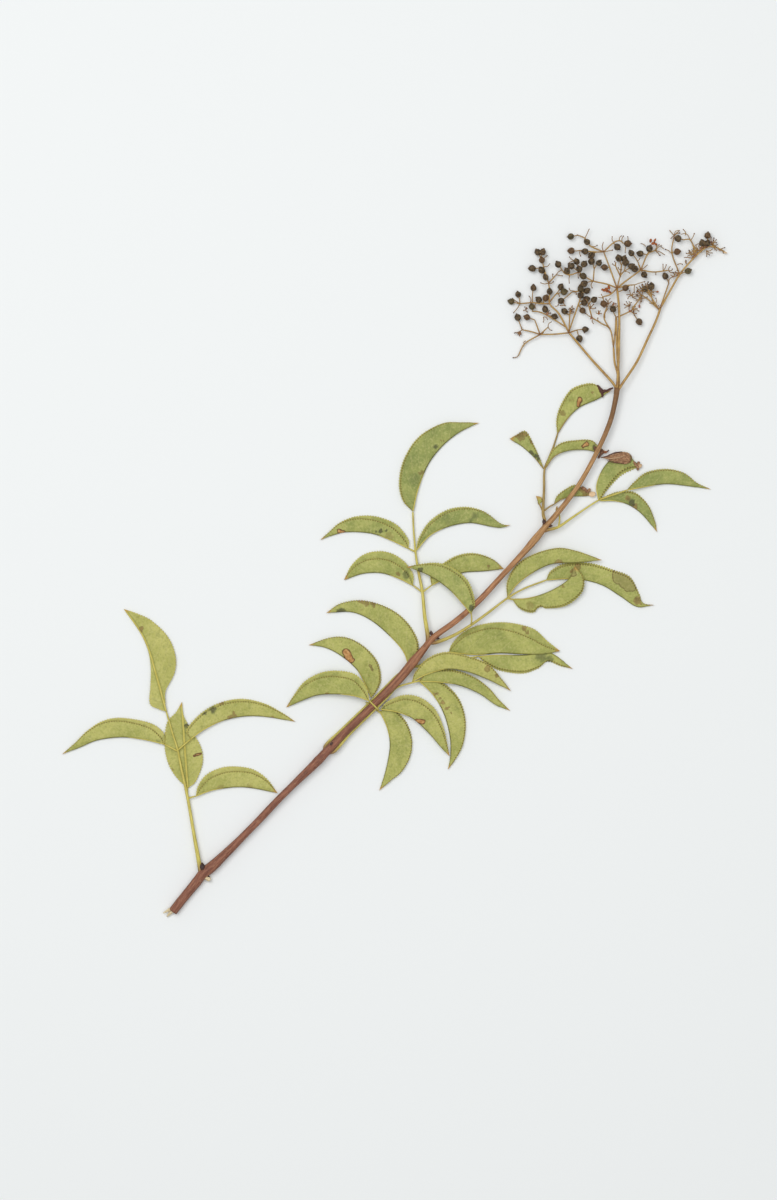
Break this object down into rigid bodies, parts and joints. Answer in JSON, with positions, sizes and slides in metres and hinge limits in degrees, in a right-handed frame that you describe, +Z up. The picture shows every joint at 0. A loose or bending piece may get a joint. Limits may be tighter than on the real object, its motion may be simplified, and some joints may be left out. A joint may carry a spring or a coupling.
{
  "type": "elderberry cluster",
  "caption": "Dried elderberry cutting laid flat: woody stem, folded compound leaves with toothed leaflets, and a branched head of small berries at its tip.",
  "frame": {"origin": "middle of the cutting's box, on the surface it lies on", "axes": "+Z up out of that surface; the stem runs from its cut end at -X -Y to the head of berries at +X +Y"},
  "size_m": [0.2498, 0.2596, 0.007],
  "materials": {
    "bark": "thin reddish brown bark, tan and ochre towards the tip, pale where cut",
    "leaf": "dry olive green leaf, matt, with yellow-green veins and brown dried tips",
    "leaf_stalk": "dry yellow-green leaf stalk, satin",
    "fruit_stalk": "dry golden ochre stalk, satin",
    "berry": "shrivelled dark brown skin with tan patches, satin"
  },
  "bodies": {
    "root": {"stem": "bark", "leaf_1": "leaf", "leaf_2": "leaf", "leaf_3": "leaf", "leaf_4": "leaf", "leaf_5": "leaf", "leaf_6": "leaf", "leaf_7": "leaf", "spray_left": "fruit_stalk", "spray_middle": "fruit_stalk", "spray_right": "fruit_stalk"}
  },
  "joints": []
}
